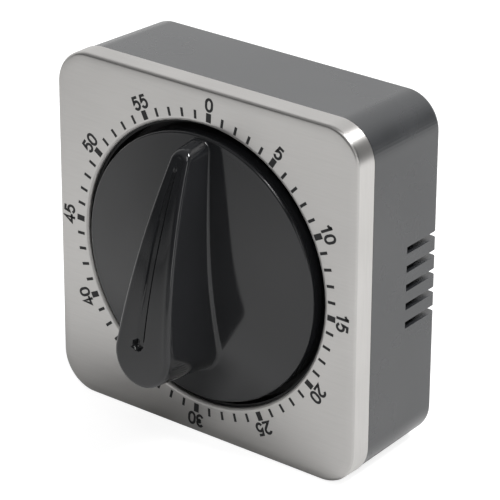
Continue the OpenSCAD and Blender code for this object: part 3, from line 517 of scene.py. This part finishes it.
def face_ring(half, y):
    """Rounded square at depth y, half as its half width, set evenly inside the face's outline."""
    r = FACE_CORNER - (HALF - half)
    c = half - r
    corners = ((1, 1), (-1, 1), (-1, -1), (1, -1))
    arcs = [arc(sx * c, sz * c, r, 90 * k, 90 * k + 90, CORNER_STEPS) for k, (sx, sz) in enumerate(corners)]
    share = np.linspace(0, 1, SIDE_ROW_STEPS + 1)[1:-1, None]
    runs = []
    for here, after in zip(arcs, arcs[1:] + arcs[:1]):
        runs += [here, here[-1] + share * (after[0] - here[-1])]
    outline = np.vstack(runs)
    return np.c_[outline[:, 0], np.full(len(outline), float(y)), outline[:, 1]]


def lip_rings(angles):
    """Rings of the lip, from its back round its front to the plate."""
    back = [circle(angles, HOLE + LIP * share, y) for share, y in LIP_BACK]
    front = arc(HOLE + LIP, LIP, LIP, 180, 270, LIP_STEPS)
    return back + [circle(angles, HOLE + (r - HOLE) * LIP_SPREAD, y) for r, y in front]


def plate_rings(lip_edge, brow, drop):
    """Rings from the lip's edge to the brow, where the sheet starts to curve off, and on to the fold."""
    flat = face_ring(brow, 0)
    rings = [lip_edge + (flat - lip_edge) * t for t in np.linspace(0, 1, PLATE_STEPS + 1)[1:]]
    for t in np.linspace(0, 1, CROWN_STEPS + 1)[1:-1]:
        rings.append(face_ring(brow + CROWN_RUN * t, drop * t * t))
    return rings


def rim_rings():
    """Rings round the rim's back edge and up its inside."""
    edge = [face_ring(HALF, RIM_DEPTH - RIM_BREAK), face_ring(HALF - RIM_BREAK, RIM_DEPTH),
            face_ring(HALF - SHEET, RIM_DEPTH)]
    inside = arc(HALF - FOLD, FOLD, FOLD - SHEET, 0, -90, INNER_STEPS)
    return edge + [face_ring(half, y) for half, y in inside]


def make_face():
    """Folded sheet with a lip round the dial hole, as one closed skin."""
    loft = Loft()
    outline = face_ring(HALF, 0)
    angles = np.arctan2(outline[:, 2], outline[:, 0])
    tilt = math.radians(CROWN_TILT)
    drop = CROWN_RUN * math.tan(tilt) / 2
    fold = arc(HALF - FOLD, drop + FOLD * math.cos(tilt), FOLD, CROWN_TILT - 90, 0, FOLD_STEPS)
    lip = lip_rings(angles)
    plate = plate_rings(lip[-1], fold[0][0] - CROWN_RUN, drop)
    loft.build(lip + plate + [face_ring(half, y) for half, y in fold] + rim_rings(), closed=True)
    lip_end = len(lip) - 1 - BRIGHT_LIP_ROWS
    rim_start = len(lip) + len(plate) + FOLD_STEPS // 2 + 1
    steel, rim_steel, lip_steel = range(3)
    slots = []
    for i in range(len(loft.faces)):
        row = i // len(outline)
        slots.append(rim_steel if row >= rim_start else lip_steel if row < lip_end else steel)
    mats = [STEEL, RIM_STEEL, LIP_STEEL]
    return mesh_object("face", np.vstack(loft.points), loft.faces, mats, sharp_from=40, slots=slots)


face = make_face()
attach(face, "case")
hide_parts("front_plate")

# Printed minute ring: its centre and turn, its numerals with the 45 a little further out, its marks of one
# and of five minutes (width and length), and the depths of the ink's front and back
RING_X, RING_Z, RING_TURN = -0.07, -0.12, 2.975
NUMERAL_H, NUMERAL_W, PEN, NUMERAL_R, DIGIT_STEP = 2.86, 1.92, 0.55, 33.1, 3.46
NUMERAL_OUT = {"45": 0.4}
MARK, FIVE_MARK, MARK_R = (0.6, 1.74), (1.2, 1.85), 30.55
INK_FRONT, INK_BACK = -0.012, 0.05
# Cosine of half a bend, under which the corner of a pen stroke reaches out no further
MITRE = 0.5


def unit(v):
    return v / np.linalg.norm(v)


def stroke(path, width, closed):
    """Left and right edge of a pen stroke along a path."""
    p = np.asarray(path, float)
    n = len(p)
    left, right = [], []
    for i in range(n):
        before, after = p[i] - p[i - 1], p[(i + 1) % n] - p[i]
        if not closed and i == 0:
            before = after
        if not closed and i == n - 1:
            after = before
        side, next_side = (np.array([-d[1], d[0]]) for d in (unit(before), unit(after)))
        middle = unit(side + next_side)
        middle /= max(float(middle @ side), MITRE)
        left.append(p[i] + middle * width / 2)
        right.append(p[i] - middle * width / 2)
    return left, right


def glyphs():
    """Plain sans numerals 0 to 5 as pen paths round their centre.

    Points are shares of height h and width w, or of x and y, the furthest that the pen's middle goes."""
    h, w = NUMERAL_H, NUMERAL_W
    x, y, nib = (w - PEN) / 2, (h - PEN) / 2, PEN / 2
    zero = [oval(0, y - 1.25 * x, x, 1.25 * x, 0, 180, 20), oval(0, 1.25 * x - y, x, 1.25 * x, 180, 360, 20)]
    one = [(0.12 * w, -h / 2), (0.12 * w, h / 2)]
    one_flag = [(-0.30 * w, 0.22 * h), (-0.12 * w, 0.26 * h), (0.02 * w, 0.36 * h), (0.08 * w, 0.47 * h)]
    two_foot = [(0.62 * x, -0.02 * h), (-0.25 * x, -0.22 * h), (-0.8 * x, -0.36 * h), (-x, -y), (x + nib, -y)]
    two = [oval(0, y - x, x, x, 160, -25, 18), two_foot]
    waist = [(-0.1 * w, 0.035 * h)]
    three_top = [oval(0, y - 0.98 * x, 0.92 * x, 0.98 * x, 155, -80, 16), waist]
    three_bowl = [waist, oval(0, 1.08 * x - y, x, 1.08 * x, 85, -155, 20)]
    four = [(0.45 * x, -h / 2), (0.45 * x, y), (-x, -0.19 * h), (x + nib, -0.19 * h)]
    five_flag = [(0.9 * x, y), (-0.62 * x, y), (-0.88 * x, 0.02 * h)]
    five = [five_flag, oval(0, 1.12 * x - y, x, 1.12 * x, 140, -155, 24)]
    return {
        "0": [np.vstack(zero)], "1": [one, one_flag], "2": [np.vstack(two)],
        "3": [np.vstack(three_top), np.vstack(three_bowl)], "4": [four], "5": [np.vstack(five)],
    }


def plate_faces(quads, n):
    """Front and back of the quads, whose back points are n further on, and walls along their open edges."""
    faces = []
    for quad in quads:
        faces += [quad, tuple(i + n for i in reversed(quad))]
    edges = dict.fromkeys((quad[i], quad[(i + 1) % 4]) for quad in quads for i in range(4))
    return faces + [(b, a, a + n, b + n) for a, b in edges if (b, a) not in edges]


def make_marks():
    """Ink as thin plates let into the face."""
    quads, spots = [], []

    def lay(path, width, r, angle, closed=False):
        """Lays a pen stroke on the ring, upright at an angle clockwise from the top."""
        left, right = stroke(path, width, closed)
        sin, cos = math.sin(math.radians(angle)), math.cos(math.radians(angle))
        base, n = len(spots), len(left)
        for u, v in [*left, *right]:
            spots.append((RING_X + r * sin + u * cos + v * sin, RING_Z + r * cos - u * sin + v * cos))
        for i in range(n if closed else n - 1):
            j = (i + 1) % n
            quads.append((base + i, base + j, base + n + j, base + n + i))

    pen_paths = glyphs()
    for minute in range(60):
        angle = RING_TURN + 6 * minute
        five = minute % 5 == 0
        width, length = FIVE_MARK if five else MARK
        lay([(0, -length / 2), (0, length / 2)], width, MARK_R, angle)
        word = str(minute) if five else ""
        for i, digit in enumerate(word):
            digit_angle = angle + (i - (len(word) - 1) / 2) * DIGIT_STEP
            for path in pen_paths[digit]:
                lay(path, PEN, NUMERAL_R + NUMERAL_OUT.get(word, 0), digit_angle, closed=digit == "0")

    points = [(x, y, z) for y in (INK_FRONT, INK_BACK) for x, z in spots]
    return mesh_object("minute_marks", points, plate_faces(quads, len(spots)), [INK], sharp_from=30)


marks = make_marks()
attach(marks, "case")

# Stage and light, in metres and watts. To the camera the floor is white, with the object's shadow on it. To
# everything else it is a pale table.
TABLE_WHITE, FLOOR_WHITE, FLOOR_GLOW, FLOOR_ROUGH, FLOOR_SIZE = 0.76, 0.4, 0.85, 0.9, 6.0
# Parts of the world: a direction, the span of dot products with it over which the light changes, and its
# strength at both ends
CEILING = ((-0.35, 0, 1), (0.47, 0.78), (0.0, 0.25))
PANEL = ((-0.62, 0.78, 0.0), (0.15, 0.55), (0.0, 0.92))
HORIZON = ((0, 0, 1), (0.0, 0.14), (0.5, 0.05))
# Lamps: size, energy and place, all aimed at one point of the object
AIM = (0, 0, 0.03)
LAMPS = (("overhead", (0.3, 0.3), 10.0, (0.46, 0.15, 0.9)),
         ("front_top", (0.4, 0.4), 1.6, (0.38, -0.5, 0.78)),
         ("strip", (0.08, 0.5), 0.8, (0.8, -0.55, 0.28)))


def floor_material():
    """Matt floor that glows to the camera only."""
    mat, tree, shader = new_mat("floor")
    camera_ray = tree.nodes.new("ShaderNodeLightPath").outputs["Is Camera Ray"]
    tree.links.new(ramp(tree, camera_ray, (0, 1), (TABLE_WHITE, FLOOR_WHITE)), shader.inputs["Base Color"])
    shader.inputs["Roughness"].default_value = FLOOR_ROUGH
    shader.inputs["Specular IOR Level"].default_value = 0.0
    shader.inputs["Emission Color"].default_value = (1, 1, 1, 1)
    tree.links.new(maths(tree, "MULTIPLY", camera_ray, FLOOR_GLOW), shader.inputs["Emission Strength"])
    return mat


def make_floor():
    mesh = bpy.data.meshes.new("floor")
    s = FLOOR_SIZE / 2
    mesh.from_pydata([(-s, -s, 0), (s, -s, 0), (s, s, 0), (-s, s, 0)], [], [(0, 1, 2, 3)])
    mesh.materials.append(floor_material())
    return link("floor", mesh)


def sky_part(tree, where, direction, span, strength):
    """Light that changes with how far a direction in the world points along another."""
    along = tree.nodes.new("ShaderNodeVectorMath")
    along.operation = "DOT_PRODUCT"
    tree.links.new(where, along.inputs[0])
    along.inputs[1].default_value = direction
    return ramp(tree, along.outputs["Value"], span, strength, smooth=True)


def studio():
    """Dim ceiling, a bright panel behind on the left and a soft glow along the horizon."""
    world = bpy.data.worlds.new("studio")
    bpy.context.scene.world = world
    world.use_nodes = True
    tree = world.node_tree
    where = tree.nodes.new("ShaderNodeTexCoord").outputs["Generated"]
    ceiling, panel, horizon = (sky_part(tree, where, *part) for part in (CEILING, PANEL, HORIZON))
    strength = maths(tree, "ADD", maths(tree, "MAXIMUM", ceiling, panel), horizon)
    background = tree.nodes["Background"]
    background.inputs["Color"].default_value = (1, 1, 1, 1)
    tree.links.new(strength, background.inputs["Strength"])


def lamp(name, size, energy, where):
    light = bpy.data.lights.new(name, "AREA")
    light.shape = "RECTANGLE"
    light.size, light.size_y = size
    light.energy = energy
    ob = link(name, light)
    ob.location = where
    ob.rotation_mode = "QUATERNION"
    ob.rotation_quaternion = (Vector(AIM) - Vector(where)).to_track_quat("-Z", "Y")


make_floor()
studio()
for spec in LAMPS:
    lamp(*spec)

# Camera as solved from the photograph: angles in degrees, place in metres from the face's centre, focal
# length in pixels of an image IMAGE_PIXELS wide, and the sensor's width in millimetres
CAMERA_TURN, CAMERA_RISE, CAMERA_ROLL = 38.48362, 24.51642, 0.25619
CAMERA_X, CAMERA_Y, CAMERA_Z = 0.31013, -0.37578, 0.22557
FOCAL_PIXELS, IMAGE_PIXELS, SENSOR = 2848.739, 500.0, 36.0
NEAR, FAR = 0.01, 20.0


def make_camera():
    cam = bpy.data.cameras.new("camera")
    ob = link("camera", cam)
    turn, rise, roll = (math.radians(v) for v in (CAMERA_TURN, CAMERA_RISE, CAMERA_ROLL))
    back = Vector((math.sin(turn) * math.cos(rise), -math.cos(turn) * math.cos(rise), math.sin(rise)))
    level = (-back).cross(Vector((0, 0, 1))).normalized()
    upright = level.cross(-back)
    right = level * math.cos(roll) + upright * math.sin(roll)
    up = upright * math.cos(roll) - level * math.sin(roll)
    at = Vector((CAMERA_X, CAMERA_Y + FACE_Y / MM_PER_M, CAMERA_Z + HALF / MM_PER_M))
    ob.matrix_world = Matrix((*zip(right, up, back, at), (0, 0, 0, 1)))
    cam.sensor_width = SENSOR
    cam.lens = FOCAL_PIXELS * SENSOR / IMAGE_PIXELS
    cam.clip_start, cam.clip_end = NEAR, FAR
    return ob


bpy.context.scene.camera = make_camera()
bpy.context.scene.view_settings.view_transform = "Standard"
